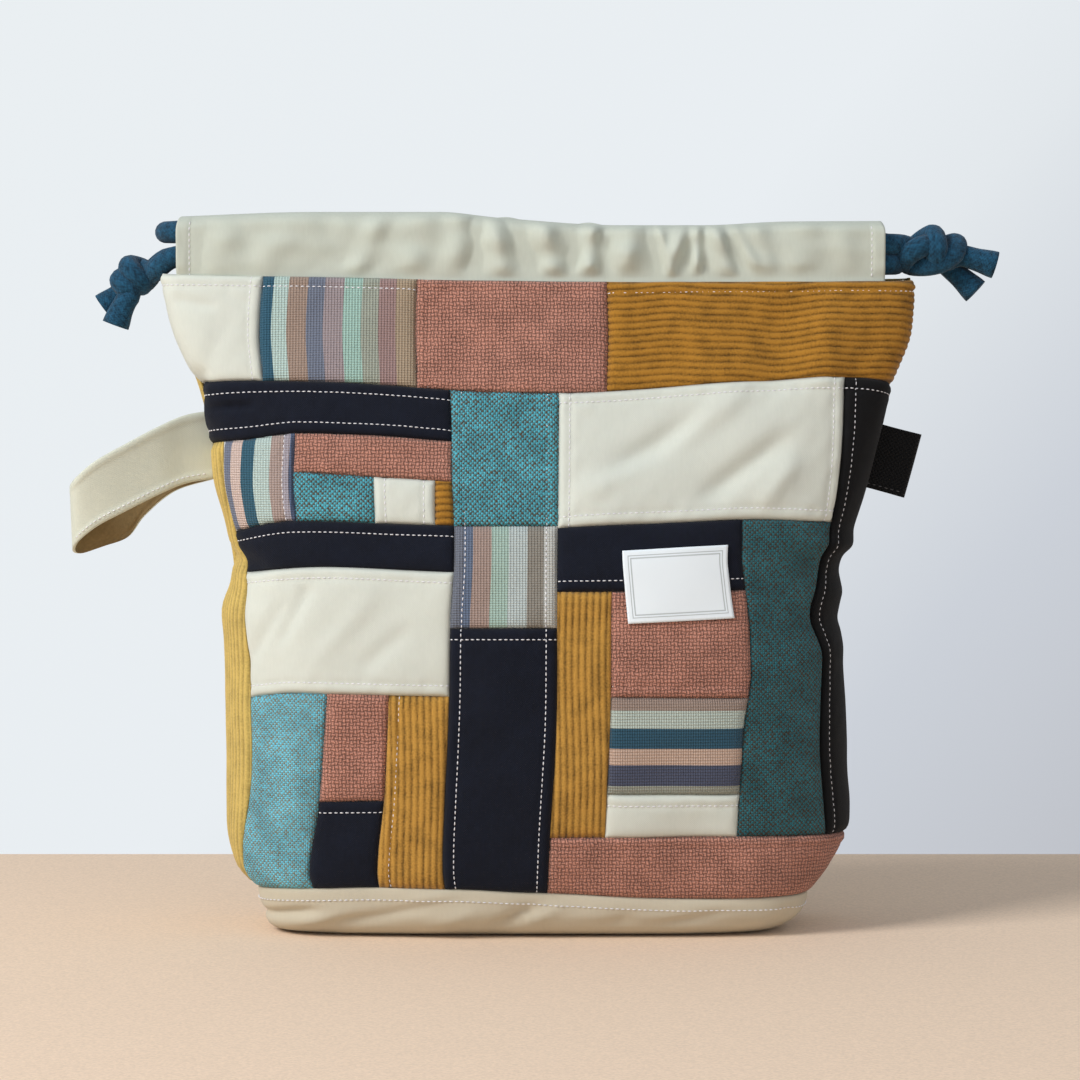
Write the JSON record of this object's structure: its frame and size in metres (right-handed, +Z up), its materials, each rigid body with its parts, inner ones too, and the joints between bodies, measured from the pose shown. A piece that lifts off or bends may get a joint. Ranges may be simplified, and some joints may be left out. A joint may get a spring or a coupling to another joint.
{
  "type": "knitting project bag",
  "caption": "Soft patchwork drawstring project bag with a flat base, lining, folded cord casings, knotted drawstrings and a wrist strap.",
  "frame": {"origin": "middle of the bag's width at the flat underside of its base", "axes": "+X to the right of the patchwork front, -Y out of the front, +Z up"},
  "size_m": [0.3553, 0.0986, 0.2688],
  "materials": {
    "cream_canvas": "matt cream canvas",
    "ochre_corduroy": "matt ochre corduroy, wales about 2.5 mm apart",
    "teal_weave": "matt two-coloured teal weave",
    "pink_hopsack": "matt dusty pink basket weave",
    "dark_cotton": "matt dark navy cotton",
    "striped_cotton": "matt cotton with stripes in teal, aqua, taupe, slate, mauve and mint",
    "sage_twill": "matt pale sage twill",
    "lining_cotton": "matt plain cotton",
    "cord_cotton": "soft matt deep teal cord",
    "black_webbing": "matt black webbing",
    "label_white": "smooth white woven label"
  },
  "bodies": {
    "bag": {"top_cream_patch": "cream_canvas", "top_striped_patch": "striped_cotton", "top_pink_patch": "pink_hopsack", "top_corduroy_patch": "ochre_corduroy", "upper_dark_band": "dark_cotton", "left_side_strip": "ochre_corduroy", "left_striped_patch": "striped_cotton", "left_pink_patch": "pink_hopsack", "left_teal_patch": "teal_weave", "small_cream_patch": "cream_canvas", "small_corduroy_patch": "ochre_corduroy", "lower_dark_band": "dark_cotton", "left_cream_patch": "cream_canvas", "lower_teal_patch": "teal_weave", "lower_pink_patch": "pink_hopsack", "lower_dark_patch": "dark_cotton", "lower_corduroy_patch": "ochre_corduroy", "middle_teal_patch": "teal_weave", "middle_striped_patch": "striped_cotton", "middle_dark_patch": "dark_cotton", "right_cream_patch": "cream_canvas", "right_dark_band": "dark_cotton", "right_corduroy_patch": "ochre_corduroy", "right_pink_patch": "pink_hopsack", "right_striped_patch": "striped_cotton", "right_small_cream_patch": "cream_canvas", "right_teal_patch": "teal_weave", "right_side_strip": "dark_cotton", "right_pink_foot": "pink_hopsack", "back_panel": "ochre_corduroy", "base_panel": "cream_canvas", "lining": "lining_cotton", "front_casing": "sage_twill", "back_casing": "sage_twill", "strap_loop": "sage_twill", "side_tab": "black_webbing", "label": "label_white"},
    "left_drawstring": {"left_drawstring": "cord_cotton", "left_drawstring_knot": "cord_cotton"},
    "right_drawstring": {"right_drawstring": "cord_cotton", "right_drawstring_knot": "cord_cotton"}
  },
  "joints": [
    {"name": "left_drawstring_slide", "type": "slide", "parent": "bag", "child": "left_drawstring", "axis": [-1, 0, 0], "range_m": [-0.0008, 0.002]},
    {"name": "right_drawstring_slide", "type": "slide", "parent": "bag", "child": "right_drawstring", "axis": [1, 0, 0], "range_m": [-0.0008, 0.002]}
  ]
}
